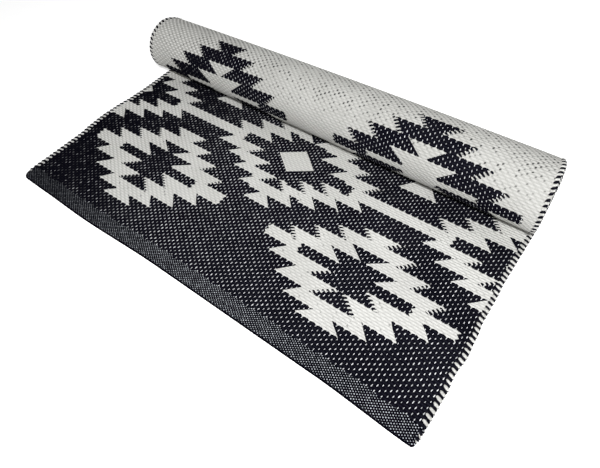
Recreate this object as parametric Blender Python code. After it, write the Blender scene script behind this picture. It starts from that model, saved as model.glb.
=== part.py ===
# Flat-woven rug, laid out face up with its far half rolled back over itself
import math

import bmesh
import bpy
import numpy as np

# Cloth, in metres
WIDTH = 1.200
LENGTH = 1.700
THICKNESS = 0.006
CORNER_RADIUS = {"left": 0.022, "right": 0.010}

# The roll tapers a little from the left selvedge to the right one, and is fullest halfway
ROLL_RADIUS = {"left": 0.0779, "right": 0.0848}
ROLL_CROWN = 0.0025
ROLL_AXIS = {"left": 0.5958, "right": 0.5854}  # distance of the axis behind the front hem

# Behind the roll the cloth leaves the floor late and swells out before it joins the round
TOUCHDOWN = {"left": 0.060, "right": 0.066}  # distance behind the axis
SHOULDER = 50.0  # degrees behind the top, where the round begins
FLOOR_PULL = 0.064
SHOULDER_PULL = 0.072

# Inner turns rest on the cloth below them and stand apart at the top
LIFT_START = 105.0  # degrees past the top, on the front
REST_GAP = 0.0012
TURN_PITCH = 0.0095

# How far each selvedge stands outside the plain rectangle, along the cloth from the front hem
SELVEDGE = (
    {"along": 0.000, "left": -0.001, "right": 0.015},
    {"along": 0.050, "left": 0.000, "right": 0.015},
    {"along": 0.120, "left": -0.001, "right": 0.014},
    {"along": 0.160, "left": -0.001, "right": 0.010},
    {"along": 0.200, "left": -0.001, "right": 0.013},
    {"along": 0.250, "left": 0.005, "right": 0.009},
    {"along": 0.290, "left": 0.007, "right": 0.004},
    {"along": 0.340, "left": 0.004, "right": 0.003},
    {"along": 0.400, "left": -0.004, "right": 0.000},
    {"along": 0.460, "left": -0.007, "right": 0.000},
    {"along": 0.560, "left": -0.007, "right": 0.000},
    {"along": 0.700, "left": -0.007, "right": -0.006},
    {"along": 0.830, "left": -0.011, "right": -0.012},
    {"along": 0.890, "left": 0.001, "right": -0.001},
    {"along": 0.960, "left": 0.005, "right": 0.004},
    {"along": 1.010, "left": 0.007, "right": 0.006},
    {"along": 1.080, "left": 0.006, "right": 0.000},
    {"along": 1.300, "left": -0.002, "right": -0.005},
    {"along": 1.500, "left": -0.002, "right": -0.006},
    {"along": 1.700, "left": -0.005, "right": -0.003},
)

# How far the front hem stands out in front of a straight line, from the left selvedge to the right one
HEM = (
    {"across": 0.000, "out": 0.001},
    {"across": 0.100, "out": 0.002},
    {"across": 0.220, "out": 0.004},
    {"across": 0.450, "out": -0.003},
    {"across": 0.820, "out": -0.002},
    {"across": 1.000, "out": 0.005},
)
HEM_REACH = 0.180  # the hem's waves die out this far behind it

# Mesh steps
COLUMNS = 20
CORNER_ROWS = 6
FLAT_STEP = 0.045
ROLLED_STEP = 0.0145
PATH_STEP = 3.0  # degrees
PATH_END = 800.0  # degrees past the top, a little beyond the far hem
RISE_POINTS = 40

FACE_COLOUR = (0.012, 0.012, 0.018, 1.0)
REVERSE_COLOUR = (0.72, 0.71, 0.67, 1.0)


def clear_scene():
    for item in list(bpy.data.objects):
        bpy.data.objects.remove(item, do_unlink=True)


def between(pair, across):
    return pair["left"] + (pair["right"] - pair["left"]) * across


def eased(amount):
    amount = min(max(amount, 0.0), 1.0)
    return amount * amount * (3.0 - 2.0 * amount)


def wave(table, place_key, place, offset_key):
    """Offset at one place of a table, eased between its rows."""
    for low, high in zip(table, table[1:]):
        if place <= high[place_key]:
            share = (place - low[place_key]) / (high[place_key] - low[place_key])
            return low[offset_key] + (high[offset_key] - low[offset_key]) * eased(share)
    return table[-1][offset_key]


def selvedge(side, along):
    """Distance of a selvedge outside the plain rectangle, less its rounded corners."""
    radius = CORNER_RADIUS[side]
    offset = wave(SELVEDGE, "along", along, side)
    from_hem = min(along, LENGTH - along)
    if from_hem >= radius:
        return offset
    return offset - radius + math.sqrt(radius ** 2 - (radius - from_hem) ** 2)


def hem_offset(across, along):
    """Distance that the front hem's waves move the cloth forward."""
    return wave(HEM, "across", across, "out") * (1.0 - eased(along / HEM_REACH))


def roll_radius(across):
    return between(ROLL_RADIUS, across) + 4.0 * ROLL_CROWN * across * (1.0 - across)


def wound_point(turned, across):
    """Middle of the cloth, at an angle past the roll's top, going down its front and in."""
    radius = roll_radius(across)
    seat = THICKNESS + REST_GAP
    lift = seat * eased((turned - LIFT_START) / (180.0 - LIFT_START))
    turns = max(0.0, turned - 180.0) / 360.0
    reach = radius - THICKNESS / 2 - lift - TURN_PITCH * turns
    height = radius - (TURN_PITCH - seat) * turns
    angle = math.radians(turned)
    return (between(ROLL_AXIS, across) - reach * math.sin(angle), height + reach * math.cos(angle))


def rise_points(across):
    """Bulge of the cloth behind the roll, from the floor up to the round."""
    start = np.array([between(ROLL_AXIS, across) + between(TOUCHDOWN, across), THICKNESS / 2])
    end = np.array(wound_point(-SHOULDER, across))
    angle = math.radians(-SHOULDER)
    low_pull = start + np.array([FLOOR_PULL, 0.0])
    high_pull = end + SHOULDER_PULL * np.array([math.cos(angle), math.sin(angle)])
    share = np.linspace(0.0, 1.0, RISE_POINTS)[:, None]
    rest = 1.0 - share
    return (rest ** 3 * start + 3 * rest ** 2 * share * low_pull
            + 3 * rest * share ** 2 * high_pull + share ** 3 * end)


def section_path(across):
    """Middle line of the whole cloth in a section square to the roll, with its lengths."""
    points = [(0.0, THICKNESS / 2)]
    points.extend(rise_points(across))
    points.extend(wound_point(turned, across) for turned in np.arange(-SHOULDER + PATH_STEP, PATH_END, PATH_STEP))
    path = np.array(points)
    steps = np.hypot(*np.diff(path, axis=0).T)
    return np.concatenate([[0.0], np.cumsum(steps)]), path


def row_places():
    """Distances along the cloth of the mesh rows: close at corners and in the roll."""
    corner_end = max(CORNER_RADIUS.values())
    floor_end = between(ROLL_AXIS, 0.5) + between(TOUCHDOWN, 0.5)
    corner = [corner_end * (1.0 - math.cos(math.pi / 2 * k / CORNER_ROWS)) for k in range(CORNER_ROWS + 1)]
    flat_count = round((floor_end - corner_end) / FLAT_STEP)
    flat = list(np.linspace(corner_end, floor_end, flat_count + 1)[1:])
    rolled_count = round((LENGTH - corner_end - floor_end) / ROLLED_STEP)
    rolled = list(np.linspace(floor_end, LENGTH - corner_end, rolled_count + 1)[1:])
    far = [LENGTH - place for place in reversed(corner[:-1])]
    return corner + flat + rolled + far


def cloth_sheet():
    """Grid of the cloth's middle, one column of faces for each step across."""
    places = row_places()
    rows = len(places) - 1
    sections = [section_path(column / COLUMNS) for column in range(COLUMNS + 1)]
    work = bmesh.new()
    bmesh.ops.create_grid(work, x_segments=COLUMNS, y_segments=rows, size=0.5)
    for vert in work.verts:
        column = round((vert.co.x + 0.5) * COLUMNS)
        along = places[round((vert.co.y + 0.5) * rows)]
        lengths, path = sections[column]
        left = -selvedge("left", along)
        right = WIDTH + selvedge("right", along)
        vert.co.x = left + (right - left) * column / COLUMNS
        vert.co.y = np.interp(along, lengths, path[:, 0]) - hem_offset(column / COLUMNS, along)
        vert.co.z = np.interp(along, lengths, path[:, 1])
    mesh = bpy.data.meshes.new("rug_cloth")
    work.to_mesh(mesh)
    work.free()
    return mesh


def yarn_material(name, colour):
    material = bpy.data.materials.new(name)
    material.use_nodes = True
    shader = material.node_tree.nodes["Principled BSDF"]
    shader.inputs["Base Color"].default_value = colour
    shader.inputs["Roughness"].default_value = 0.9
    shader.inputs["Metallic"].default_value = 0.0
    return material


def centre_on_floor(mesh):
    """Puts the origin under the middle of the solid's box."""
    corners = np.array([vert.co for vert in mesh.vertices])
    low = corners.min(axis=0)
    high = corners.max(axis=0)
    back = (low[1] + high[1] + THICKNESS / 2) / 2
    for vert in mesh.vertices:
        vert.co.x -= (low[0] + high[0]) / 2
        vert.co.y -= back


def rug():
    mesh = cloth_sheet()
    centre_on_floor(mesh)
    mesh.materials.append(yarn_material("face_yarn", FACE_COLOUR))
    mesh.materials.append(yarn_material("reverse_yarn", REVERSE_COLOUR))
    mesh.shade_smooth()
    cloth = bpy.data.objects.new("rug_cloth", mesh)
    bpy.context.collection.objects.link(cloth)
    body = cloth.modifiers.new("thickness", "SOLIDIFY")
    body.thickness = THICKNESS
    body.offset = 0.0
    body.use_even_offset = True
    body.material_offset = 1
    return cloth


clear_scene()
rug()
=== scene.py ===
import math

import bpy
import numpy as np
from mathutils import Matrix, Vector


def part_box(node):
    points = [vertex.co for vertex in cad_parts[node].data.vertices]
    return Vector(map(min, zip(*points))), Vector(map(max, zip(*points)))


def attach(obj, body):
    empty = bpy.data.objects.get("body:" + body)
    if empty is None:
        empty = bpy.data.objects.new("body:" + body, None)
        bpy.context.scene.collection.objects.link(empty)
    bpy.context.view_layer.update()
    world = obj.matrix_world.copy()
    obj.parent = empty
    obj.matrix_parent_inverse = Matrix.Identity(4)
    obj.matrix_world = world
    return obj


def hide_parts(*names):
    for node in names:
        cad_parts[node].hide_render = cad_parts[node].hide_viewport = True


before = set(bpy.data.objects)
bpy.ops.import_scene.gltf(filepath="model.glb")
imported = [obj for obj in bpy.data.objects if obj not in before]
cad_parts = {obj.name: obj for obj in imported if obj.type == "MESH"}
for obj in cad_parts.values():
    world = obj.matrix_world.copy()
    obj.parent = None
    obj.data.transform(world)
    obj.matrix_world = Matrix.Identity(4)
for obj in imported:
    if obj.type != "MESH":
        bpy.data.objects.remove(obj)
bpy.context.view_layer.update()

# The cloth as woven, in metres. Rows and repeats are whole numbers of yarns.
cloth = {
    "node": "rug_cloth",
    "width": 1.200,
    "length": 1.700,
    "thickness": 0.006,
    "corner": {"left": 0.022, "right": 0.010},
    "floatsAcross": 71,
    "rowStep": 0.00625,
    "relief": 0.0005,  # how far a float stands above its ends
    "hemRelief": 0.3,  # share of it in the hem bands
    "sideInset": 0.0045,  # the yarn turns make the last few millimetres
    "hemInset": 0.0026,
    "rimSteps": 4,
    # the selvedges' waves die out this far inside: left, right
    "waveReach": {"flat": (0.25, 0.45), "rolled": (0.08, 0.08)},
    "rollStart": 0.40,
    "rollBlend": 0.15,
    "wayStep": 0.002,  # the direction along the cloth is taken over this distance to each side
}

# How the cloth lies: flat, up behind the roll, over its top, down its front and in
lay = {
    "radius": (0.0779, 0.0848),  # at the left selvedge and at the right
    "crown": 0.0025,
    "axis": (0.5958, 0.5854),
    "touchdown": (0.060, 0.066),
    "shoulder": 50.0,
    "floorPull": 0.064,
    "shoulderPull": 0.072,
    "liftStart": 105.0,
    "restGap": 0.0012,
    "turnPitch": 0.0095,
    "pathStep": 1.5,
    "pathEnd": 800.0,
    "risePoints": 80,
    "sections": 24,
    "sampleStep": 0.0005,
}

# How far each selvedge stands outside the plain rectangle: along, left, right
selvedgeWave = (
    (0.000, -0.001, 0.015),
    (0.050, 0.000, 0.015),
    (0.120, -0.001, 0.014),
    (0.160, -0.001, 0.010),
    (0.200, -0.001, 0.013),
    (0.250, 0.005, 0.009),
    (0.290, 0.007, 0.004),
    (0.340, 0.004, 0.003),
    (0.400, -0.004, 0.000),
    (0.460, -0.007, 0.000),
    (0.560, -0.007, 0.000),
    (0.700, -0.007, -0.006),
    (0.830, -0.011, -0.012),
    (0.890, 0.001, -0.001),
    (0.960, 0.005, 0.004),
    (1.010, 0.007, 0.006),
    (1.080, 0.006, 0.000),
    (1.300, -0.002, -0.005),
    (1.500, -0.002, -0.006),
    (1.700, -0.005, -0.003),
)

# How far the front hem stands out: share across, offset. It dies out behind the hem.
hemWave = ((0.00, 0.001), (0.10, 0.002), (0.22, 0.004), (0.45, -0.003), (0.82, -0.002), (1.00, 0.005))
hemReach = 0.180

# The woven pattern, in metres from the left selvedge and from the nearer hem
pattern = {
    "repeat": 0.633,
    "centreAcross": 0.611,
    "centreAlong": 0.450,
    "rowGap": 0.21875,
    "band": 0.03125,
    "slope": 0.031,
    "centre": {"bands": 5, "outer": 0.239, "outerStep": 0.0497, "inner": 0.099, "innerStep": 0.048,
               "innerSlope": 0.034, "innerBands": 3},
    "pair": {"bands": 4, "outer": 0.200, "outerStep": 0.0492, "inner": 0.043, "innerStep": 0.036,
             "innerSlope": 0.042, "innerBands": 2},
    "barStart": 0.180,
    "pairBar": 0.239,
    "pairSlot": 0.141,
    "slotShare": 0.36,
    "slotCore": 0.043,
    "slotCoreShare": 0.52,
    "fray": 0.0035,
    "rhombAcross": 0.059,
    "rhombAlong": 0.044,
    "bead": 0.0050,
    "beadMean": 0.65,
    "comb": 0.0078,  # how far the yarns of a toothed edge reach past each other
    "combLean": 0.375,
    "combBlack": 0.3,  # makes the black teeth wider than the white ones
    "combRound": 0.35,  # the lower, the squarer their ends
    "hemBand": 0.040,
    "hemRim": 0.0035,
}

# How far the rows have moved from their places in the chart: place along, left part, right part
driftRows = (
    (0.00, 0.000, 0.000),
    (0.09, 0.000, 0.000),
    (0.12, -0.006, -0.005),
    (0.20, 0.001, -0.001),
    (0.25, 0.006, -0.005),
    (0.34, 0.005, -0.007),
    (0.42, 0.001, -0.018),
    (0.52, 0.000, -0.018),
    (0.62, 0.000, 0.000),
)
driftBlend = (0.45, 0.85)  # from the left part's drift to the right part's, in metres across
driftScale = 20.0  # the node's curves run from 0 to 1, so drifts are drawn this much larger

yarn = {
    "black": (0.0018, 0.0018, 0.0042, 1.0),
    # black with painted sheen, for the tops of the black floats; on the black turns it is the lighter end of
    # their random tone
    "blackSheenAndTone": (0.0135, 0.0135, 0.0205, 1.0),
    "white": (0.74, 0.738, 0.712, 1.0),
    "whiteDark": (0.455, 0.453, 0.430, 1.0),
    "dot": (0.84, 0.85, 0.87, 1.0),
    "hemDot": (0.62, 0.65, 0.70, 1.0),
}

turns = {
    # from the edge in over the cloth
    "reach": {"leftFace": 0.0130, "rightFace": 0.0122, "leftBack": 0.0130, "rightBack": 0.0092},
    "bend": 0.0014,
    "wrap": 100.0,  # degrees round the edge
    "inset": {"left": 0.0024, "right": 0.0},  # of the white turns on the face
    "halfWidth": {
        "leftFace": {"white": 0.0034, "black": 0.0038},
        "rightFace": {"white": 0.0037, "black": 0.0032},
        "leftBack": {"white": 0.0030, "black": 0.0036},
        "rightBack": {"white": 0.0030, "black": 0.0036},
    },
    "halfHeight": 0.0018,
    "sink": {"Face": 0.0004, "Back": 0.0009},  # into the edge of the cloth
    "lean": 0.0045,
    "taper": 0.55,
    "rise": 0.0010,  # above the inner end, reached at this share of the way out
    "riseShare": 0.4,
    "floorGap": 0.0002,
    "blackFromCorner": 0.005,
    "smallLong": 0.40,  # white turns in the hem bands
    "smallWide": 0.45,
    "long": (0.88, 0.24),  # least size, and what chance adds
    "wide": (0.86, 0.28),
    "jitter": 0.0012,
    "sides": 8,
    "rings": 10,
    "seed": 4,
}

view = {
    "eye": (0.6698, -0.6162, 0.9448),
    "target": (0.1574, -0.0852, 0.0),
    "roll": -8.33,
    "lens": 30.76,
    "sensor": 36.0,
    "clipStart": 0.01,
}


# Shape of the cloth

def mix(pair, share):
    return pair[0] + (pair[1] - pair[0]) * share


def eased(amount):
    amount = np.clip(amount, 0.0, 1.0)
    return amount * amount * (3.0 - 2.0 * amount)


def tableWave(table, column, places):
    # offsets eased between the rows of a table
    keys = np.array([row[0] for row in table])
    heights = np.array([row[column] for row in table])
    low = np.clip(np.searchsorted(keys, places, side="right") - 1, 0, len(keys) - 2)
    share = eased((places - keys[low]) / (keys[low + 1] - keys[low]))
    return heights[low] + (heights[low + 1] - heights[low]) * share


def woundPoint(turned, across):
    radius = mix(lay["radius"], across) + 4.0 * lay["crown"] * across * (1.0 - across)
    seat = cloth["thickness"] + lay["restGap"]
    lift = seat * eased((turned - lay["liftStart"]) / (180.0 - lay["liftStart"]))
    wound = max(0.0, turned - 180.0) / 360.0
    reach = radius - cloth["thickness"] / 2 - lift - lay["turnPitch"] * wound
    height = radius - (lay["turnPitch"] - seat) * wound
    angle = math.radians(turned)
    return mix(lay["axis"], across) - reach * math.sin(angle), height + reach * math.cos(angle)


def sectionSamples(across):
    # places on the middle of the cloth in one section, evenly spaced along it
    start = np.array([mix(lay["axis"], across) + mix(lay["touchdown"], across), cloth["thickness"] / 2])
    end = np.array(woundPoint(-lay["shoulder"], across))
    angle = math.radians(-lay["shoulder"])
    lowPull = start + np.array([lay["floorPull"], 0.0])
    highPull = end + lay["shoulderPull"] * np.array([math.cos(angle), math.sin(angle)])
    share = np.linspace(0.0, 1.0, lay["risePoints"])[:, None]
    rest = 1.0 - share
    rise = rest ** 3 * start + 3 * rest ** 2 * share * lowPull
    rise += 3 * rest * share ** 2 * highPull + share ** 3 * end
    steps = np.arange(-lay["shoulder"] + lay["pathStep"], lay["pathEnd"], lay["pathStep"])
    wound = np.array([woundPoint(turned, across) for turned in steps])
    path = np.concatenate([[(0.0, cloth["thickness"] / 2)], rise, wound])
    lengths = np.concatenate([[0.0], np.cumsum(np.hypot(*np.diff(path, axis=0).T))])
    places = np.arange(0.0, cloth["length"] + lay["sampleStep"], lay["sampleStep"])
    return np.stack([np.interp(places, lengths, path[:, 0]), np.interp(places, lengths, path[:, 1])], axis=1)


samples = np.array([sectionSamples(k / lay["sections"]) for k in range(lay["sections"] + 1)])
low = np.array(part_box(cloth["node"])[0])
leftReach = max(row[1] for row in selvedgeWave)
hemOut = max(row[1] for row in hemWave)
origin = np.array([low[0] + leftReach, low[1] + hemOut, 0.0])


def sampleAt(across, along):
    column = np.clip(across / cloth["width"], 0.0, 1.0) * lay["sections"]
    left = np.minimum(column.astype(int), lay["sections"] - 1)
    row = np.clip(along, 0.0, cloth["length"]) / lay["sampleStep"]
    near = np.minimum(row.astype(int), samples.shape[1] - 2)
    side = (column - left)[:, None]
    ahead = (row - near)[:, None]
    first = samples[left, near] * (1 - ahead) + samples[left, near + 1] * ahead
    second = samples[left + 1, near] * (1 - ahead) + samples[left + 1, near + 1] * ahead
    return first * (1 - side) + second * side


def clothFrame(across, along):
    # places on the middle of the cloth, and its directions across, along and up from the face
    across = np.asarray(across, float)
    along = np.asarray(along, float)
    spot = sampleAt(across, along)
    step = sampleAt(across, along + cloth["wayStep"]) - sampleAt(across, along - cloth["wayStep"])
    step /= np.hypot(step[:, 0], step[:, 1])[:, None]
    rolled = eased((along - cloth["rollStart"]) / cloth["rollBlend"])
    bothReaches = zip(cloth["waveReach"]["flat"], cloth["waveReach"]["rolled"])
    reachLeft, reachRight = (mix(pair, rolled) for pair in bothReaches)
    waveLeft = tableWave(selvedgeWave, 1, along) * (1.0 - eased(across / reachLeft))
    waveRight = tableWave(selvedgeWave, 2, along) * (1.0 - eased((cloth["width"] - across) / reachRight))
    forward = tableWave(hemWave, 1, np.clip(across / cloth["width"], 0.0, 1.0))
    forward *= 1.0 - eased(along / hemReach)
    place = np.stack([across - waveLeft + waveRight, spot[:, 0] - forward, spot[:, 1]], axis=1) + origin
    nothing = np.zeros(len(across))
    ahead = np.stack([nothing, step[:, 0], step[:, 1]], axis=1)
    up = np.stack([nothing, -step[:, 1], step[:, 0]], axis=1)
    return place, ahead, up


print("shape of the cloth worked out")


# Cloth sheet: one closed mesh, its vertices on the weave's own floats

def gridLines(count, step, length, inset, closeTo):
    # even lines, closer together near both ends, where the corners are round
    lines = {round(k * step, 6) for k in range(count + 1)}
    for k in range(closeTo):
        lines |= {round((k + part) * step, 6) for part in (0.25, 0.5, 0.75)}
        lines |= {round(length - (k + part) * step, 6) for part in (0.25, 0.5, 0.75)}
    return np.unique(np.clip(sorted(lines), inset, length - inset))


def roundCorners(across, along):
    # draws the grid's corners in to their round outline, and gives the way out at each point
    out = np.zeros((len(across), 2))
    for side, signX, edgeX in (("left", 1.0, 0.0), ("right", -1.0, cloth["width"])):
        for signY, edgeY in ((1.0, 0.0), (-1.0, cloth["length"])):
            radius = cloth["corner"][side]
            spanX = radius - cloth["sideInset"]
            spanY = radius - cloth["hemInset"]
            a = (radius - (across - edgeX) * signX) / spanX
            b = (radius - (along - edgeY) * signY) / spanY
            inside = (a > 0) & (b > 0)
            pull = np.maximum(a, b) / np.maximum(np.hypot(a, b), 1e-9)
            across = np.where(inside, edgeX + signX * (radius - spanX * a * pull), across)
            along = np.where(inside, edgeY + signY * (radius - spanY * b * pull), along)
            out[inside] = np.stack([-signX * a, -signY * b], axis=1)[inside]
    return across, along, out


def gridAcross():
    step = cloth["width"] / cloth["floatsAcross"] / 2
    return gridLines(2 * cloth["floatsAcross"], step, cloth["width"], cloth["sideInset"], 1)


def gridAlong():
    rows = round(cloth["length"] / cloth["rowStep"])
    return gridLines(rows, cloth["rowStep"], cloth["length"], cloth["hemInset"], 3)


def buildCloth():
    columns = gridAcross()
    rows = gridAlong()
    countX, countY = len(columns), len(rows)
    across = np.tile(columns, countY)
    along = np.repeat(rows, countX)
    edge = (across == columns[0]) | (across == columns[-1]) | (along == rows[0]) | (along == rows[-1])
    across, along, out = roundCorners(across, along)
    pitch = cloth["width"] / cloth["floatsAcross"]
    relief = -np.cos(2 * math.pi * across / pitch) * np.cos(math.pi * along / cloth["rowStep"])
    fromHem = np.minimum(along, cloth["length"] - along)
    relief *= np.where(fromHem < pattern["hemBand"], cloth["hemRelief"], 1.0) * cloth["relief"]
    relief[edge] = 0.0
    half = cloth["thickness"] / 2 - cloth["relief"]
    place, ahead, up = clothFrame(across, along)
    face = place + up * (half + relief)[:, None]
    reverse = place - up * (half + relief)[:, None]

    # the way round the edge, and the ring of points that makes it half round
    loop = list(range(countX)) + [r * countX + countX - 1 for r in range(1, countY)]
    loop += [(countY - 1) * countX + c for c in range(countX - 2, -1, -1)]
    loop += [r * countX for r in range(countY - 2, 0, -1)]
    loop = np.array(loop)
    flatOut = np.zeros((len(across), 2))
    flatOut[np.arange(countX), 1] = -1.0
    flatOut[np.arange(countX) + (countY - 1) * countX, 1] = 1.0
    flatOut[np.arange(1, countY - 1) * countX, 0] = -1.0
    flatOut[np.arange(1, countY - 1) * countX + countX - 1, 0] = 1.0
    rounded = np.hypot(out[:, 0], out[:, 1]) > 0.5
    flatOut[rounded] = out[rounded]
    way = flatOut[loop] / np.hypot(flatOut[loop, 0], flatOut[loop, 1])[:, None]
    outward = way[:, :1] * np.array([[1.0, 0.0, 0.0]]) + way[:, 1:] * ahead[loop]
    rings = []
    for ring in range(1, cloth["rimSteps"]):
        angle = math.pi / 2 - math.pi * ring / cloth["rimSteps"]
        rings.append(place[loop] + half * (up[loop] * math.sin(angle) + outward * math.cos(angle)))
    count = len(across)
    vertices = np.concatenate([face, reverse] + rings)
    flatPlace = np.stack([across, along], axis=1)
    flat = np.concatenate([flatPlace, flatPlace] + [flatPlace[loop]] * len(rings))

    corner = (np.arange(countY - 1)[:, None] * countX + np.arange(countX - 1)).ravel()
    top = np.stack([corner, corner + 1, corner + 1 + countX, corner + countX], axis=1)
    quads = [top, top[:, ::-1] + count]
    slots = [np.zeros(len(top), int), np.ones(len(top), int)]
    levels = [2 * count + k * len(loop) + np.arange(len(loop)) for k in range(len(rings))]
    levels = [loop] + levels + [loop + count]
    for k, (upper, lower) in enumerate(zip(levels, levels[1:])):
        quads.append(np.stack([upper, lower, np.roll(lower, -1), np.roll(upper, -1)], axis=1))
        slots.append(np.full(len(loop), 0 if k < cloth["rimSteps"] / 2 else 1))
    quads = np.concatenate(quads)
    slots = np.concatenate(slots)
    vertices[:, 2] = np.maximum(vertices[:, 2], 0.0)

    mesh = bpy.data.meshes.new("rugCloth")
    mesh.from_pydata(vertices.tolist(), [], quads.tolist())
    mesh.polygons.foreach_set("material_index", slots)
    places = flat[quads.ravel()]
    mesh.uv_layers.new(name="weave").data.foreach_set("uv", places.ravel().astype(np.float32))
    addBakeMap(mesh, places, np.repeat(slots, 4) == 1)
    mesh.shade_smooth()
    piece = bpy.data.objects.new("rugCloth", mesh)
    bpy.context.collection.objects.link(piece)
    return piece


bakeMap = {"side": 0.5, "used": 0.49, "margin": 0.005, "spare": 0.02}


def addBakeMap(mesh, places, reverse):
    # the face and the reverse side by side in one square
    scale = bakeMap["used"] / (cloth["width"] + bakeMap["spare"])
    layout = places * scale + bakeMap["margin"]
    layout[reverse, 0] += bakeMap["side"]
    mesh.uv_layers.new(name="OFBake").data.foreach_set("uv", layout.ravel().astype(np.float32))
    mesh.uv_layers.active = mesh.uv_layers["weave"]
    mesh.uv_layers["weave"].active_render = True


rugCloth = buildCloth()
print("cloth:", len(rugCloth.data.polygons), "faces")


# Selvedge turns: one plump stitch of yarn is modelled and copied along both edges

def modelStitch():
    bpy.ops.object.select_all(action="DESELECT")
    bpy.ops.mesh.primitive_uv_sphere_add(segments=turns["sides"], ring_count=turns["rings"], radius=1.0)
    stitch = bpy.context.active_object
    shape = np.array([v.co for v in stitch.data.vertices])
    faces = [list(p.vertices) for p in stitch.data.polygons]
    bpy.data.objects.remove(stitch, do_unlink=True)
    return shape, faces


def bendStitch(shape, side, along, colour, onFace, size, jitter):
    # lays the stitch on the cloth, from its inner end out to the edge and round it
    across = 0.0 if side == "left" else cloth["width"]
    place, ahead, up = (values[0] for values in clothFrame([across], [along + jitter]))
    outward = np.array([-1.0 if side == "left" else 1.0, 0.0, 0.0])
    over = up if onFace else -up
    part = "Face" if onFace else "Back"
    straight = (turns["reach"][side + part] - turns["bend"]) * size[0]
    curve = math.radians(turns["wrap"]) * turns["bend"]
    travel = (shape[:, 2] + 1.0) / 2 * (straight + curve)
    beyond = np.maximum(travel - straight, 0.0) / turns["bend"]
    inward = np.where(travel < straight, travel - straight, turns["bend"] * np.sin(beyond))
    height = turns["bend"] * np.cos(beyond)
    taper = np.sqrt(np.maximum(1.0 - shape[:, 2] ** 2, 0.0)) ** turns["taper"]
    radial = np.maximum(np.hypot(shape[:, 0], shape[:, 1]), 1e-9)
    halfWide = turns["halfWidth"][side + part][colour]
    wide = shape[:, 0] / radial * taper * halfWide * size[1]
    thick = shape[:, 1] / radial * taper * turns["halfHeight"]
    away = over * np.cos(beyond)[:, None] + outward * np.sin(beyond)[:, None]
    inset = turns["inset"][side] if onFace and colour == "white" else 0.0
    edge = place - outward * (turns["bend"] + turns["halfHeight"] + inset - turns["sink"][part])
    lean = turns["lean"] * (1.0 - travel / (straight + curve)) - turns["lean"] / 2
    rise = turns["rise"] * eased(travel / straight / turns["riseShare"])
    result = edge + outward * inward[:, None] + over * (height + rise)[:, None]
    result = result + away * thick[:, None] + ahead * (wide + lean)[:, None]
    result[:, 2] = np.maximum(result[:, 2], turns["floorGap"])
    return result


def stitchSize(row, rows, side, white, chance):
    # small in the hem bands and missing at their inner ends and round the corners
    fromHem = min(row, rows - row) * cloth["rowStep"]
    if fromHem < cloth["corner"][side] + (0.0 if white else turns["blackFromCorner"]):
        return None
    if white and abs(fromHem - pattern["hemBand"]) < cloth["rowStep"]:
        return None
    small = white and fromHem < pattern["hemBand"]
    long = turns["long"][0] + turns["long"][1] * chance[0]
    wide = turns["wide"][0] + turns["wide"][1] * chance[1]
    return (long * turns["smallLong"], wide * turns["smallWide"]) if small else (long, wide)


def buildTurns(name, colour):
    shape, faces = modelStitch()
    chance = np.random.default_rng(turns["seed"] if colour == "white" else turns["seed"] + 1)
    rows = round(cloth["length"] / cloth["rowStep"])
    vertices = []
    polygons = []
    for side in ("left", "right"):
        for row in range(2, rows - 1):
            # white lies on the face in even rows and on the reverse in odd ones, black the opposite
            onFace = (row % 2 == 0) == (colour == "white")
            draws = chance.random(3)
            size = stitchSize(row, rows, side, colour == "white", draws)
            if size is None:
                continue
            base = sum(len(part) for part in vertices)
            jitter = (draws[2] - 0.5) * turns["jitter"]
            vertices.append(bendStitch(shape, side, row * cloth["rowStep"], colour, onFace, size, jitter))
            flip = (side == "left") == onFace
            polygons += [[base + i for i in (reversed(face) if flip else face)] for face in faces]
    mesh = bpy.data.meshes.new(name)
    mesh.from_pydata(np.concatenate(vertices).tolist(), [], polygons)
    mesh.shade_smooth()
    piece = bpy.data.objects.new(name, mesh)
    bpy.context.collection.objects.link(piece)
    return piece


whiteTurns = buildTurns("whiteSelvedgeTurns", "white")
blackTurns = buildTurns("blackSelvedgeTurns", "black")
print("selvedge turns:", len(whiteTurns.data.polygons) + len(blackTurns.data.polygons), "faces")


# Shader node helpers

def calc(tree, operation, first, second=None, third=None):
    node = tree.nodes.new("ShaderNodeMath")
    node.operation = operation
    for slot, value in zip(node.inputs, (first, second, third)):
        if isinstance(value, bpy.types.NodeSocket):
            tree.links.new(value, slot)
        elif value is not None:
            slot.default_value = value
    return node.outputs[0]


def blendColour(tree, amount, first, second):
    node = tree.nodes.new("ShaderNodeMix")
    node.data_type = "RGBA"
    for slot, value in ((node.inputs["Factor"], amount), (node.inputs[6], first), (node.inputs[7], second)):
        if isinstance(value, bpy.types.NodeSocket):
            tree.links.new(value, slot)
        else:
            slot.default_value = value
    return node.outputs[2]


def rangeOf(tree, value, low, high, toLow=0.0, toHigh=1.0):
    node = tree.nodes.new("ShaderNodeMapRange")
    node.interpolation_type = "SMOOTHSTEP"
    tree.links.new(value, node.inputs["Value"])
    node.inputs["From Min"].default_value = low
    node.inputs["From Max"].default_value = high
    node.inputs["To Min"].default_value = toLow
    node.inputs["To Max"].default_value = toHigh
    return node.outputs["Result"]


def noise(tree, vector, scale, detail=2.0):
    node = tree.nodes.new("ShaderNodeTexNoise")
    tree.links.new(vector, node.inputs["Vector"])
    node.inputs["Scale"].default_value = scale
    node.inputs["Detail"].default_value = detail
    return node.outputs["Fac"]


def newGroup(name, inputs, outputs):
    tree = bpy.data.node_groups.new(name, "ShaderNodeTree")
    for label in inputs:
        tree.interface.new_socket(name=label, in_out="INPUT", socket_type="NodeSocketFloat")
    for label in outputs:
        tree.interface.new_socket(name=label, in_out="OUTPUT", socket_type="NodeSocketFloat")
    start = tree.nodes.new("NodeGroupInput")
    end = tree.nodes.new("NodeGroupOutput")
    return tree, start.outputs, end.inputs


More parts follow.
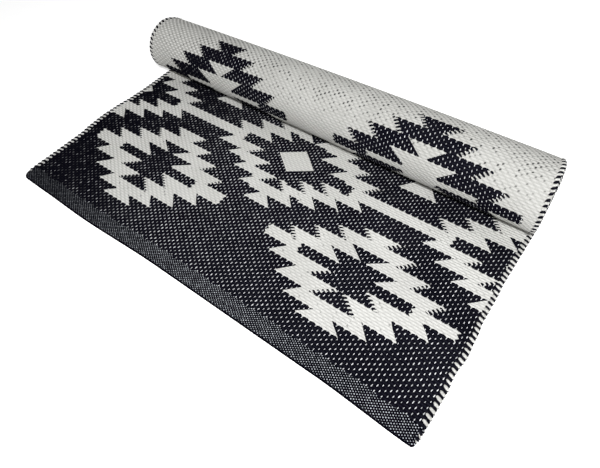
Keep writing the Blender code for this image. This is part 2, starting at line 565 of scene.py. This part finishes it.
def useGroup(tree, group, **values):
    node = tree.nodes.new("ShaderNodeGroup")
    node.node_tree = group
    for label, value in values.items():
        slot = node.inputs[label]
        if isinstance(value, bpy.types.NodeSocket):
            tree.links.new(value, slot)
        else:
            slot.default_value = value
    return node.outputs


# Weave: rows of floats in brick order, with a binding dot between each pair

def weaveGroup():
    tree, given, result = newGroup("weaveCells", ("across", "along", "pitch", "rowStep"),
                                   ("fromDot", "fromRow", "chance", "otherChance", "height"))
    rowPlace = calc(tree, "DIVIDE", given["along"], given["rowStep"])
    row = calc(tree, "ROUND", rowPlace)
    fromRow = calc(tree, "SUBTRACT", rowPlace, row)
    odd = calc(tree, "PINGPONG", row, 1.0)
    cellPlace = calc(tree, "DIVIDE", given["across"], given["pitch"])
    cellPlace = calc(tree, "MULTIPLY_ADD", odd, 0.5, cellPlace)
    cell = calc(tree, "ROUND", cellPlace)
    fromDot = calc(tree, "SUBTRACT", cellPlace, cell)
    join = tree.nodes.new("ShaderNodeCombineXYZ")
    tree.links.new(cell, join.inputs[0])
    tree.links.new(row, join.inputs[1])
    chance = tree.nodes.new("ShaderNodeTexWhiteNoise")
    chance.noise_dimensions = "3D"
    tree.links.new(join.outputs[0], chance.inputs["Vector"])
    parts = tree.nodes.new("ShaderNodeSeparateColor")
    tree.links.new(chance.outputs["Color"], parts.inputs[0])
    hump = calc(tree, "SINE", calc(tree, "MULTIPLY", calc(tree, "ABSOLUTE", fromDot), math.pi))
    ridge = calc(tree, "COSINE", calc(tree, "MULTIPLY", fromRow, math.pi))
    height = calc(tree, "MULTIPLY", ridge, calc(tree, "MULTIPLY_ADD", hump, 0.7, 0.3))
    for label, value in (("fromDot", fromDot), ("fromRow", fromRow), ("chance", parts.outputs[0]),
                         ("otherChance", parts.outputs[1]), ("height", height)):
        tree.links.new(value, result[label])
    return tree


def ovalGroup():
    # a leaning oval yarn dot: 1 inside, 0 outside, soft at its rim
    names = ("x", "y", "halfWide", "halfLong", "lean", "size", "soft")
    tree, given, result = newGroup("yarnDot", names, ("dot",))
    x = calc(tree, "DIVIDE", given["x"], calc(tree, "MULTIPLY", given["halfWide"], given["size"]))
    y = calc(tree, "DIVIDE", given["y"], calc(tree, "MULTIPLY", given["halfLong"], given["size"]))
    x = calc(tree, "MULTIPLY_ADD", y, given["lean"], x)
    away = calc(tree, "SQRT", calc(tree, "ADD", calc(tree, "MULTIPLY", x, x), calc(tree, "MULTIPLY", y, y)))
    inside = calc(tree, "DIVIDE", calc(tree, "SUBTRACT", 1.0, away), given["soft"])
    inside = calc(tree, "MAXIMUM", 0.0, calc(tree, "MINIMUM", inside, 1.0))
    tree.links.new(inside, result["dot"])
    return tree


def ringGroup():
    # one stepped diamond without its middle row: toothed bands outside, toothed black core inside
    names = ("across", "along", "stepped", "stripe", "side", "facing", "comb", "bands", "outer",
             "outerStep", "inner", "innerStep", "innerSlope", "innerBands")
    tree, given, result = newGroup("steppedRing", names, ("white",))
    x = calc(tree, "ABSOLUTE", given["across"])
    y = calc(tree, "DIVIDE", calc(tree, "ABSOLUTE", given["along"]), pattern["band"])
    band = calc(tree, "ROUND", y)
    reached = calc(tree, "DIVIDE", calc(tree, "ABSOLUTE", given["stepped"]), pattern["band"])
    into = calc(tree, "ADD", calc(tree, "SUBTRACT", reached, band), 0.5)
    into = calc(tree, "MAXIMUM", 0.0, calc(tree, "MINIMUM", into, 1.0))
    before = calc(tree, "SUBTRACT", band, 1.0)
    narrowing = calc(tree, "MULTIPLY", calc(tree, "SUBTRACT", 1.0, into), pattern["slope"])
    outer = calc(tree, "SUBTRACT", given["outer"], calc(tree, "MULTIPLY", given["outerStep"], before))
    outer = calc(tree, "SUBTRACT", outer, narrowing)
    inner = calc(tree, "SUBTRACT", given["inner"], calc(tree, "MULTIPLY", given["innerStep"], before))
    inner = calc(tree, "MULTIPLY_ADD", given["innerSlope"], into, inner)

    # on one slope of each step the yarns of both colours reach past each other, row by row
    outerToothed = calc(tree, "GREATER_THAN", calc(tree, "MULTIPLY", given["along"], given["side"]), 0.0)
    innerToothed = calc(tree, "SUBTRACT", 1.0, outerToothed)
    leaning = calc(tree, "MULTIPLY", given["facing"], -pattern["combLean"] / cloth["rowStep"])

    def strokes(fromEdge, toothed):
        phase = calc(tree, "MULTIPLY_ADD", fromEdge, leaning, given["stripe"])
        wave = calc(tree, "SINE", calc(tree, "MULTIPLY", phase, 2 * math.pi))
        wave = calc(tree, "MULTIPLY_ADD", given["facing"], pattern["combBlack"], wave)
        rounded = calc(tree, "MINIMUM", calc(tree, "ABSOLUTE", wave), 1.0)
        rounded = calc(tree, "POWER", rounded, pattern["combRound"])
        strokeReach = calc(tree, "MULTIPLY", calc(tree, "MULTIPLY", rounded, toothed), given["comb"])
        return calc(tree, "MULTIPLY", calc(tree, "SIGN", wave), strokeReach)

    outerReach = strokes(calc(tree, "SUBTRACT", outer, x), outerToothed)
    innerReach = strokes(calc(tree, "SUBTRACT", x, inner), innerToothed)
    outer = calc(tree, "SUBTRACT", outer, outerReach)
    inner = calc(tree, "ADD", inner, innerReach)
    innerOn = calc(tree, "LESS_THAN", band, calc(tree, "ADD", given["innerBands"], 0.5))
    inner = calc(tree, "SUBTRACT", calc(tree, "MULTIPLY", inner, innerOn),
                 calc(tree, "SUBTRACT", 1.0, innerOn))
    white = calc(tree, "MULTIPLY", calc(tree, "LESS_THAN", x, outer), calc(tree, "GREATER_THAN", x, inner))
    white = calc(tree, "MULTIPLY", white, calc(tree, "GREATER_THAN", band, 0.5))
    bandsOn = calc(tree, "LESS_THAN", band, calc(tree, "ADD", given["bands"], 0.5))
    white = calc(tree, "MULTIPLY", white, bandsOn)
    tree.links.new(white, result["white"])
    return tree


def patternGroup(ring):
    # the whole chart: a row of centre diamonds between two rows of paired ones, mirrored at mid length
    names = ("across", "along", "stepped", "stripe", "comb", "frayed", "facing")
    tree, given, result = newGroup("kilimPattern", names, ("white",))

    def fromCentre(value):
        folded = calc(tree, "ABSOLUTE", calc(tree, "SUBTRACT", cloth["length"] / 2, value))
        return calc(tree, "SUBTRACT", cloth["length"] / 2 - pattern["centreAlong"], folded)

    fromMiddle = calc(tree, "SUBTRACT", cloth["length"] / 2, given["along"])
    along = fromCentre(given["along"])
    stepped = fromCentre(given["stepped"])
    side = calc(tree, "MULTIPLY", calc(tree, "SIGN", fromMiddle), given["facing"])
    shifted = calc(tree, "SUBTRACT", given["across"], pattern["centreAcross"])
    x = calc(tree, "PINGPONG", shifted, pattern["repeat"] / 2)
    pairX = calc(tree, "SUBTRACT", pattern["repeat"] / 2, x)
    pairAlong = calc(tree, "SUBTRACT", calc(tree, "ABSOLUTE", along), pattern["rowGap"])
    pairStepped = calc(tree, "SUBTRACT", calc(tree, "ABSOLUTE", stepped), pattern["rowGap"])
    pairSide = calc(tree, "MULTIPLY", side, calc(tree, "SIGN", along))
    shared = {"stripe": given["stripe"], "facing": given["facing"], "comb": given["comb"]}
    centre = useGroup(tree, ring, across=x, along=along, stepped=stepped, side=side,
                      **shared, **pattern["centre"])["white"]
    pair = useGroup(tree, ring, across=pairX, along=pairAlong, stepped=pairStepped, side=pairSide,
                    **shared, **pattern["pair"])["white"]
    inMiddle = calc(tree, "LESS_THAN", calc(tree, "ABSOLUTE", along), pattern["band"] / 2)
    barPlace = calc(tree, "SUBTRACT", x, given["frayed"])
    bar = calc(tree, "MULTIPLY", inMiddle, calc(tree, "GREATER_THAN", barPlace, pattern["barStart"]))
    rhomb = calc(tree, "ADD", calc(tree, "DIVIDE", x, pattern["rhombAcross"]),
                 calc(tree, "DIVIDE", calc(tree, "ABSOLUTE", stepped), pattern["rhombAlong"]))
    rhomb = calc(tree, "LESS_THAN", rhomb, 1.0)
    pairMiddle = calc(tree, "LESS_THAN", calc(tree, "ABSOLUTE", pairAlong), pattern["band"] / 2)
    frayedX = calc(tree, "ADD", pairX, given["frayed"])
    pairBar = calc(tree, "MULTIPLY", pairMiddle, calc(tree, "LESS_THAN", frayedX, pattern["pairBar"]))
    inCore = calc(tree, "LESS_THAN", pairX, pattern["slotCore"])
    wider = pattern["slotCoreShare"] - pattern["slotShare"]
    slotShare = calc(tree, "MULTIPLY_ADD", inCore, wider, pattern["slotShare"])
    slotHalf = calc(tree, "MULTIPLY", slotShare, pattern["band"])
    inSlot = calc(tree, "LESS_THAN", calc(tree, "ABSOLUTE", pairAlong), slotHalf)
    inSlot = calc(tree, "MULTIPLY", inSlot, calc(tree, "LESS_THAN", frayedX, pattern["pairSlot"]))
    pairBar = calc(tree, "MULTIPLY", pairBar, calc(tree, "SUBTRACT", 1.0, inSlot))
    white = centre
    for part in (pair, bar, rhomb, pairBar):
        white = calc(tree, "MAXIMUM", white, part)
    tree.links.new(white, result["white"])
    return tree


def driftGroup():
    # from a place on the cloth to its place in the chart: the rows aren't packed quite evenly
    tree, given, result = newGroup("rowDrift", ("across", "along"), ("charted",))
    last = driftRows[-1][0]
    place = calc(tree, "MINIMUM", calc(tree, "DIVIDE", given["along"], last), 1.0)
    curves = []
    for column in (1, 2):
        node = tree.nodes.new("ShaderNodeFloatCurve")
        tree.links.new(place, node.inputs["Value"])
        points = node.mapping.curves[0].points
        points[0].location = (0.0, 0.5)
        points[1].location = (1.0, 0.5)
        for row in driftRows[1:-1]:
            points.new(row[0] / last, 0.5 + row[column] * driftScale)
        for point in points:
            point.handle_type = "VECTOR"
        node.mapping.update()
        drawn = calc(tree, "SUBTRACT", node.outputs[0], 0.5)
        curves.append(calc(tree, "DIVIDE", drawn, driftScale))
    share = rangeOf(tree, given["across"], *driftBlend)
    moved = calc(tree, "MULTIPLY_ADD", share, calc(tree, "SUBTRACT", curves[1], curves[0]), curves[0])
    tree.links.new(calc(tree, "SUBTRACT", given["along"], moved), result["charted"])
    return tree


fibre = {"broadScale": 9.0, "fineScale": 420.0, "detail": 3.0}


def cottonGroup():
    # fine fibre: a slight unevenness of tone and a height for the bump
    tree, given, result = newGroup("cottonFibre", ("across", "along"), ("tone", "height"))
    join = tree.nodes.new("ShaderNodeCombineXYZ")
    tree.links.new(given["across"], join.inputs[0])
    tree.links.new(given["along"], join.inputs[1])
    broad = noise(tree, join.outputs[0], fibre["broadScale"], fibre["detail"])
    fine = noise(tree, join.outputs[0], fibre["fineScale"], fibre["detail"])
    tone = calc(tree, "ADD", calc(tree, "MULTIPLY", broad, 0.5), calc(tree, "MULTIPLY", fine, 0.5))
    tree.links.new(tone, result["tone"])
    tree.links.new(fine, result["height"])
    return tree


weaveCells = weaveGroup()
yarnDot = ovalGroup()
kilimPattern = patternGroup(ringGroup())
rowDrift = driftGroup()
cottonFibre = cottonGroup()


# Cloth materials: the face, and the reverse with its colours the other way round.
# A range of four numbers says where a change begins and ends, and the values before and after.

look = {
    "specular": 0.0,
    "bump": 0.9,
    "bumpDepth": 0.0014,
    "fibreHeight": 0.25,
    "ribHeight": 0.9,
    "fineHeight": 0.5,
    "roughness": (0.3, 0.7, 0.82, 0.96),
}


def fabricShader(name):
    material = bpy.data.materials.new(name)
    material.use_nodes = True
    shader = material.node_tree.nodes["Principled BSDF"]
    shader.inputs["Metallic"].default_value = 0.0
    shader.inputs["Specular IOR Level"].default_value = look["specular"]
    return material, material.node_tree, shader


def bumpInto(tree, shader, height, strength, depth):
    bump = tree.nodes.new("ShaderNodeBump")
    bump.inputs["Strength"].default_value = strength
    bump.inputs["Distance"].default_value = depth
    tree.links.new(height, bump.inputs["Height"])
    tree.links.new(bump.outputs[0], shader.inputs["Normal"])


# The motif's outline, drawn with whole yarns
outline = {
    "strayScale": 14.0,
    "stray": 0.006,  # how far the slopes wander
    "patchScale": 7.0,
    "patches": (0.36, 0.56, 0.80, 1.0),  # length of the teeth, patch by patch
    "teethAcross": (0.35, 0.80, 0.60, 1.0),  # and from the left part to the right
    "reverseTeeth": 1.05,
}


def beadCurve(tree, away):
    wide = calc(tree, "MULTIPLY", away, 2.0)
    left = calc(tree, "SUBTRACT", 1.0, calc(tree, "MULTIPLY", wide, wide))
    return calc(tree, "SQRT", calc(tree, "MAXIMUM", left, 0.0))


def whiteParts(tree, spot, across, along, cells, reverse):
    # 1 where the weave shows off-white yarn, 0 where it shows black
    rowStep = cloth["rowStep"]
    strayed = calc(tree, "SUBTRACT", noise(tree, spot, outline["strayScale"]), 0.5)
    drawn = calc(tree, "MULTIPLY_ADD", strayed, outline["stray"], across)
    stripe = calc(tree, "DIVIDE", along, rowStep)
    patchy = rangeOf(tree, noise(tree, spot, outline["patchScale"], 1.0), *outline["patches"])
    patchy = calc(tree, "MULTIPLY", patchy, outline["reverseTeeth"] if reverse else 1.0)
    comb = calc(tree, "MULTIPLY", rangeOf(tree, across, *outline["teethAcross"]), pattern["comb"])
    comb = calc(tree, "MULTIPLY", comb, patchy)
    frayed = calc(tree, "SUBTRACT", calc(tree, "PINGPONG", stripe, 1.0), 0.5)
    frayed = calc(tree, "MULTIPLY", frayed, 2.0 * pattern["fray"])
    stepped = useGroup(tree, rowDrift, across=across, along=along)["charted"]

    def whiteAt(place):
        row = calc(tree, "ROUND", calc(tree, "DIVIDE", place, rowStep))
        rowPlace = calc(tree, "MULTIPLY", row, rowStep)
        charted = useGroup(tree, rowDrift, across=across, along=rowPlace)["charted"]
        chart = useGroup(tree, kilimPattern, across=drawn, along=charted, stepped=stepped, stripe=stripe,
                         comb=comb, frayed=frayed, facing=-1.0 if reverse else 1.0)["white"]
        return calc(tree, "SUBTRACT", 1.0, chart) if reverse else chart

    # in a level edge each dark float is a bead that bulges out, with a sharp white notch to its next
    base = whiteAt(along)
    fromDot = calc(tree, "ABSOLUTE", cells["fromDot"])
    fromNotch = calc(tree, "SUBTRACT", 0.5, fromDot)
    bulge = calc(tree, "SUBTRACT", beadCurve(tree, fromDot), pattern["beadMean"])
    notch = calc(tree, "SUBTRACT", pattern["beadMean"], beadCurve(tree, fromNotch))
    reach = calc(tree, "MULTIPLY_ADD", base, calc(tree, "SUBTRACT", bulge, notch), notch)
    reach = calc(tree, "MULTIPLY", calc(tree, "MAXIMUM", reach, 0.0), pattern["bead"])
    ahead = whiteAt(calc(tree, "ADD", along, reach))
    behind = whiteAt(calc(tree, "SUBTRACT", along, reach))
    bulged = calc(tree, "MINIMUM", ahead, behind)
    notched = calc(tree, "MAXIMUM", ahead, behind)
    return calc(tree, "MULTIPLY_ADD", base, calc(tree, "SUBTRACT", bulged, notched), notched)


# Where the yarn of the other colour binds a float, it shows as a dot
dots = {
    "shape": {"halfWide": 0.0011, "halfLong": 0.0033, "lean": -0.5, "soft": 0.2},
    "size": (0.72, 0.5),  # least size, and what chance adds
    "sizeAcross": (0.55, 1.10, 1.0, 0.88),
    "reverseSize": 0.77,
    "strength": (0.55, 0.45),
    "uneven": (0.02, 0.50, 7.0, 1.0),  # most dots are sunk and faint at the left
    "fade": (0.02, 0.42, 0.50, 1.0),
}
specks = {
    "shape": {"halfWide": 0.0021, "halfLong": 0.0023, "lean": 0.3, "soft": 0.2},
    "size": (0.78, 0.45),
    "darkness": (0.22, 0.78),
    "darkPower": 1.4,
    "patchScale": 6.0,
    "faceShare": (0.35, 0.60, 0.03, 0.15),
    "faceStrength": (0.10, 0.60, 0.6, 0.4),
    "reverseShare": (0.34, 0.52, 0.45, 0.90),
    "reverseAlong": (0.92, 1.02, 1.0, 0.12),  # few are left further round the roll
    "reverseAcross": (0.05, 0.30, 0.45, 1.0),
}


def chanced(tree, chance, values):
    return calc(tree, "MULTIPLY_ADD", chance, values[1], values[0])


def whiteDots(tree, across, cells, dotX, dotY, reverse):
    size = chanced(tree, cells["chance"], dots["size"])
    narrowed = dots["reverseSize"] if reverse else rangeOf(tree, across, *dots["sizeAcross"])
    size = calc(tree, "MULTIPLY", size, narrowed)
    dot = useGroup(tree, yarnDot, x=dotX, y=dotY, size=size, **dots["shape"])["dot"]
    strength = chanced(tree, cells["otherChance"], dots["strength"])
    strength = calc(tree, "POWER", strength, rangeOf(tree, across, *dots["uneven"]))
    fade = rangeOf(tree, across, *dots["fade"])
    return calc(tree, "MULTIPLY", calc(tree, "MULTIPLY", dot, strength), fade)


def blackSpecks(tree, spot, across, along, cells, dotX, dotY, reverse):
    size = chanced(tree, cells["otherChance"], specks["size"])
    speck = useGroup(tree, yarnDot, x=dotX, y=dotY, size=size, **specks["shape"])["dot"]
    patches = noise(tree, spot, specks["patchScale"])
    if reverse:
        strength = rangeOf(tree, along, *specks["reverseAlong"])
        share = calc(tree, "MULTIPLY", strength, rangeOf(tree, patches, *specks["reverseShare"]))
        strength = calc(tree, "MULTIPLY", strength, rangeOf(tree, across, *specks["reverseAcross"]))
    else:
        strength = rangeOf(tree, across, *specks["faceStrength"])
        share = rangeOf(tree, patches, *specks["faceShare"])
    speck = calc(tree, "MULTIPLY", speck, calc(tree, "LESS_THAN", cells["chance"], share))
    darkness = calc(tree, "POWER", cells["otherChance"], specks["darkPower"])
    darkness = chanced(tree, darkness, specks["darkness"])
    return calc(tree, "MULTIPLY", calc(tree, "MULTIPLY", speck, darkness), strength)


# Slanting ribs between the dots, and the tones of both yarns, with painted highlight and shade on the floats
# and painted shade towards the left of the reverse
ribs = {
    "power": 0.6,
    "mean": 0.7,
    "face": (0.15, 0.80, 0.6, 0.2),
    "reverse": (0.15, 0.80, 1.0, 0.45),
}
tones = {
    "cotton": (0.35, 0.65),
    "blackCotton": (0.4, 0.6),
    # how much of the black floats' painted highlight shows, growing towards the right where more light falls
    "blackSheenAcross": (0.0, 0.70, 0.45, 1.0),
    "whiteCotton": 0.35,
    "faceWhite": 0.48,
    # painted shade: the reverse's white is drawn darker towards the left, where less light falls
    "reverseWhiteShade": (0.0, 0.45, -0.16, 0.06),
    "rib": 0.6,
    # painted shade and highlight on the white floats: lighter on their tops, darker at their ends, strongest
    # at the left
    "float": 0.75,
    "floatShadeMean": 0.55,
    "faceFloatShade": (0.06, 0.50, 1.2, 0.45),
    "reverseFloatShade": (0.06, 0.50, 2.4, 0.45),
}


def slantingRibs(tree, across, along, pitch, reverse):
    crossing = calc(tree, "MULTIPLY", across, (-1.0 if reverse else 1.0) / pitch)
    place = calc(tree, "MULTIPLY_ADD", along, 0.5 / cloth["rowStep"], crossing)
    rib = calc(tree, "ABSOLUTE", calc(tree, "SINE", calc(tree, "MULTIPLY", place, math.pi)))
    rib = calc(tree, "SUBTRACT", calc(tree, "POWER", rib, ribs["power"]), ribs["mean"])
    return calc(tree, "MULTIPLY", rib, rangeOf(tree, across, *ribs["reverse" if reverse else "face"]))


# painted highlight: each black float is drawn lighter on its top, from the weave's height and a random
# cotton share, more so towards the right
def blackFloatSheen(tree, across, tone, cells):
    height = calc(tree, "MULTIPLY", cells["height"], chanced(tree, tone, tones["blackCotton"]))
    return calc(tree, "MULTIPLY", height, rangeOf(tree, across, *tones["blackSheenAcross"]))


def whiteToneAndShading(tree, across, tone, cells, rib, reverse):
    # on the reverse the white's level carries painted shade, darker towards the left
    plain = rangeOf(tree, across, *tones["reverseWhiteShade"]) if reverse else tones["faceWhite"]
    white = calc(tree, "MULTIPLY_ADD", tone, tones["whiteCotton"], plain)
    white = calc(tree, "MULTIPLY_ADD", rib, tones["rib"], white)
    # painted shade and highlight: each float is drawn lighter on its top and darker where it dips at its
    # ends
    shadedRise = calc(tree, "SUBTRACT", cells["height"], tones["floatShadeMean"])
    floatShading = rangeOf(tree, across, *tones["reverseFloatShade" if reverse else "faceFloatShade"])
    return calc(tree, "MULTIPLY_ADD", calc(tree, "MULTIPLY", shadedRise, floatShading), tones["float"], white)


# Fine band along each hem
hem = {
    "dotShape": {"halfWide": 0.0014, "halfLong": 0.0012, "lean": 0.0, "soft": 0.4},
    "row": 0.0028,
    "ragged": 0.004,
    "size": (0.8, 0.4),
    "strength": (0.4, 0.6),
    "faceAcross": (0.05, 0.60, 0.35, 1.0),
}


def hemBand(tree, across, along, cells, pitch, reverse):
    # where the band is, its colour and the height of its weave
    fromMiddle = calc(tree, "ABSOLUTE", calc(tree, "SUBTRACT", along, cloth["length"] / 2))
    fromHem = calc(tree, "SUBTRACT", cloth["length"] / 2, fromMiddle)
    depth = chanced(tree, cells["chance"], (pattern["hemBand"], hem["ragged"]))
    inBand = calc(tree, "LESS_THAN", fromHem, depth)
    fine = useGroup(tree, weaveCells, across=across, along=along, pitch=pitch / 2, rowStep=hem["row"])
    x = calc(tree, "MULTIPLY", fine["fromDot"], pitch / 2)
    y = calc(tree, "MULTIPLY", fine["fromRow"], hem["row"])
    size = chanced(tree, fine["otherChance"], hem["size"])
    dot = useGroup(tree, yarnDot, x=x, y=y, size=size, **hem["dotShape"])["dot"]
    dot = calc(tree, "MULTIPLY", dot, chanced(tree, fine["chance"], hem["strength"]))
    dot = calc(tree, "MULTIPLY", dot, calc(tree, "GREATER_THAN", fromHem, pattern["hemRim"]))
    if reverse:
        colour = blendColour(tree, dot, yarn["whiteDark"], yarn["black"])
    else:
        dot = calc(tree, "MULTIPLY", dot, rangeOf(tree, across, *hem["faceAcross"]))
        colour = blendColour(tree, dot, yarn["black"], yarn["hemDot"])
    return inBand, colour, calc(tree, "MULTIPLY", fine["height"], look["fineHeight"])


def clothMaterial(name, reverse):
    material, tree, shader = fabricShader(name)
    place = tree.nodes.new("ShaderNodeUVMap")
    place.uv_map = "weave"
    spot = place.outputs["UV"]
    parts = tree.nodes.new("ShaderNodeSeparateXYZ")
    tree.links.new(spot, parts.inputs[0])
    across, along = parts.outputs[0], parts.outputs[1]
    pitch = cloth["width"] / cloth["floatsAcross"]
    cells = useGroup(tree, weaveCells, across=across, along=along, pitch=pitch, rowStep=cloth["rowStep"])
    cotton = useGroup(tree, cottonFibre, across=across, along=along)
    tone = rangeOf(tree, cotton["tone"], *tones["cotton"])
    dotX = calc(tree, "MULTIPLY", cells["fromDot"], pitch)
    dotY = calc(tree, "MULTIPLY", cells["fromRow"], cloth["rowStep"])

    white = whiteParts(tree, spot, across, along, cells, reverse)
    rib = slantingRibs(tree, across, along, pitch, reverse)
    # black floats with a painted highlight on their tops, then the white dots
    black = blendColour(tree, blackFloatSheen(tree, across, tone, cells), yarn["black"], yarn["blackSheenAndTone"])
    black = blendColour(tree, whiteDots(tree, across, cells, dotX, dotY, reverse), black, yarn["dot"])
    # the white yarn's tone, with its painted shade and highlight on the floats
    light = whiteToneAndShading(tree, across, tone, cells, rib, reverse)
    light = blendColour(tree, light, yarn["whiteDark"], yarn["white"])
    dark = blackSpecks(tree, spot, across, along, cells, dotX, dotY, reverse)
    light = blendColour(tree, dark, light, yarn["black"])
    colour = blendColour(tree, white, black, light)
    inBand, hemColour, hemHeight = hemBand(tree, across, along, cells, pitch, reverse)
    colour = blendColour(tree, inBand, colour, hemColour)
    tree.links.new(colour, shader.inputs["Base Color"])
    tree.links.new(rangeOf(tree, cotton["tone"], *look["roughness"]), shader.inputs["Roughness"])

    height = calc(tree, "MULTIPLY_ADD", cotton["height"], look["fibreHeight"], cells["height"])
    ribHeight = calc(tree, "MULTIPLY", calc(tree, "MULTIPLY", rib, white), look["ribHeight"])
    height = calc(tree, "ADD", height, ribHeight)
    height = calc(tree, "ADD", calc(tree, "MULTIPLY", height, calc(tree, "SUBTRACT", 1.0, inBand)),
                  calc(tree, "MULTIPLY", hemHeight, inBand))
    bumpInto(tree, shader, height, look["bump"], look["bumpDepth"])
    return material


turnLook = {
    "fineScale": 260.0,
    "broadScale": 30.0,
    "fineShare": 0.6,
    "tone": (0.35, 0.65),
    "roughness": (0.3, 0.7, 0.82, 0.95),
    "bump": 0.5,
    "bumpDepth": 0.0008,
}


def turnMaterial(name, dark, light):
    material, tree, shader = fabricShader(name)
    place = tree.nodes.new("ShaderNodeTexCoord")
    fine = noise(tree, place.outputs["Object"], turnLook["fineScale"], 3.0)
    broad = noise(tree, place.outputs["Object"], turnLook["broadScale"], 1.0)
    tone = calc(tree, "ADD", calc(tree, "MULTIPLY", fine, turnLook["fineShare"]),
                calc(tree, "MULTIPLY", broad, 1.0 - turnLook["fineShare"]))
    colour = blendColour(tree, rangeOf(tree, tone, *turnLook["tone"]), dark, light)
    tree.links.new(colour, shader.inputs["Base Color"])
    tree.links.new(rangeOf(tree, tone, *turnLook["roughness"]), shader.inputs["Roughness"])
    bumpInto(tree, shader, fine, turnLook["bump"], turnLook["bumpDepth"])
    return material


rugCloth.data.materials.append(clothMaterial("faceWeave", False))
rugCloth.data.materials.append(clothMaterial("reverseWeave", True))
whiteTurns.data.materials.append(turnMaterial("offWhiteYarn", yarn["whiteDark"], yarn["white"]))
blackTurns.data.materials.append(turnMaterial("blackYarn", yarn["black"], yarn["blackSheenAndTone"]))
print("materials made")

for piece in (rugCloth, whiteTurns, blackTurns):
    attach(piece, "root")
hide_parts(cloth["node"])


# Floor, light and camera

studio = {
    "paper": (0.93, 0.93, 0.93, 1.0),
    "paperRoughness": 0.9,
    "floorSize": 12.0,
    "floorDrop": 0.0006,
    "floorGlow": 0.52,
    "ambient": 0.18,
    "lamps": {
        "keyLight": {"place": (1.05, -1.05, 1.9), "size": 0.22, "power": 56.0},
        "topLight": {"place": (0.4, 1.2, 2.0), "size": 1.6, "power": 8.5},
        "frontLight": {"place": (0.7, -2.6, 0.28), "size": 0.5, "power": 6.5},
    },
}


def addFloor():
    bpy.ops.object.select_all(action="DESELECT")
    bpy.ops.mesh.primitive_plane_add(size=studio["floorSize"], location=(0, 0, -studio["floorDrop"]))
    floor = bpy.context.active_object
    floor.name = "studioFloor"
    paper = bpy.data.materials.new("palePaper")
    paper.use_nodes = True
    shader = paper.node_tree.nodes["Principled BSDF"]
    shader.inputs["Base Color"].default_value = studio["paper"]
    shader.inputs["Roughness"].default_value = studio["paperRoughness"]
    shader.inputs["Specular IOR Level"].default_value = 0.0
    shader.inputs["Emission Color"].default_value = (1.0, 1.0, 1.0, 1.0)
    shader.inputs["Emission Strength"].default_value = studio["floorGlow"]
    floor.data.materials.append(paper)


def addWorld():
    # white where the camera sees it, a softer white as light
    world = bpy.data.worlds.new("studioWorld")
    bpy.context.scene.world = world
    world.use_nodes = True
    tree = world.node_tree
    background = tree.nodes["Background"]
    background.inputs["Color"].default_value = (1.0, 1.0, 1.0, 1.0)
    seen = tree.nodes.new("ShaderNodeLightPath").outputs["Is Camera Ray"]
    strength = calc(tree, "MULTIPLY_ADD", seen, 1.0 - studio["ambient"], studio["ambient"])
    tree.links.new(strength, background.inputs["Strength"])


def addLamps():
    for name, values in studio["lamps"].items():
        lamp = bpy.data.lights.new(name, "AREA")
        lamp.size = values["size"]
        lamp.energy = values["power"]
        item = bpy.data.objects.new(name, lamp)
        bpy.context.collection.objects.link(item)
        item.location = values["place"]
        item.rotation_euler = (-Vector(values["place"])).to_track_quat("-Z", "Y").to_euler()


def addCamera():
    eye = Vector(view["eye"])
    aim = (Vector(view["target"]) - eye).to_track_quat("-Z", "Y").to_matrix().to_4x4()
    turn = Matrix.Rotation(math.radians(view["roll"]), 4, "Z")
    camera = bpy.data.cameras.new("photoCamera")
    camera.lens = view["lens"]
    camera.sensor_width = view["sensor"]
    camera.sensor_fit = "HORIZONTAL"
    camera.clip_start = view["clipStart"]
    item = bpy.data.objects.new("photoCamera", camera)
    item.matrix_world = Matrix.Translation(eye) @ aim @ turn
    bpy.context.collection.objects.link(item)
    bpy.context.scene.camera = item


addFloor()
addWorld()
addLamps()
addCamera()
bpy.context.scene.view_settings.view_transform = "Standard"
print("studio ready")
